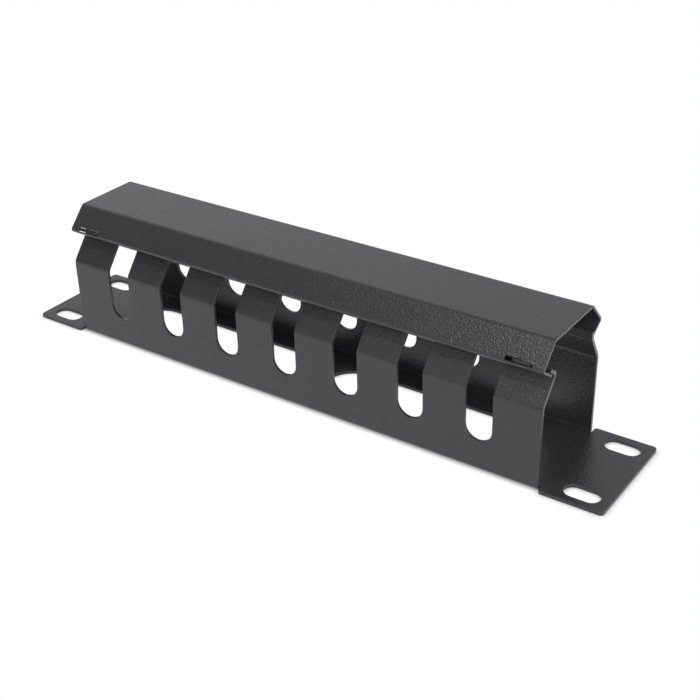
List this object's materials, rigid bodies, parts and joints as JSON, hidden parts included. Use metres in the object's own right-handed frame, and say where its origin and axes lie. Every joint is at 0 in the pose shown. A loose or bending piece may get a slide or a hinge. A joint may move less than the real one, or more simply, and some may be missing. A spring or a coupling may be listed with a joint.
{
  "type": "horizontal cable manager",
  "caption": "Folded sheet-metal finger channel on a slotted rack base plate, closed by a folded cover that hinges open along one side",
  "frame": {"origin": "centre of the bounding box in X and Y, on the underside of the base plate", "axes": "X along the rack's width, Y along the height of the rack unit, Z out of the rack towards the cover"},
  "size_m": [0.254, 0.0444, 0.0534],
  "materials": {
    "channel_coat": "charcoal powder coat with a fine texture",
    "cover_coat": "charcoal powder coat with a fine texture"
  },
  "bodies": {
    "channel": {"slotted_channel": "channel_coat"},
    "cover": {"hinged_cover": "cover_coat"}
  },
  "joints": [
    {"name": "cover_hinge", "type": "hinge", "parent": "channel", "child": "cover", "pos_m": [0, -0.01472, 0.04053], "axis": [1, 0, 0], "range_deg": [0, 90]}
  ]
}
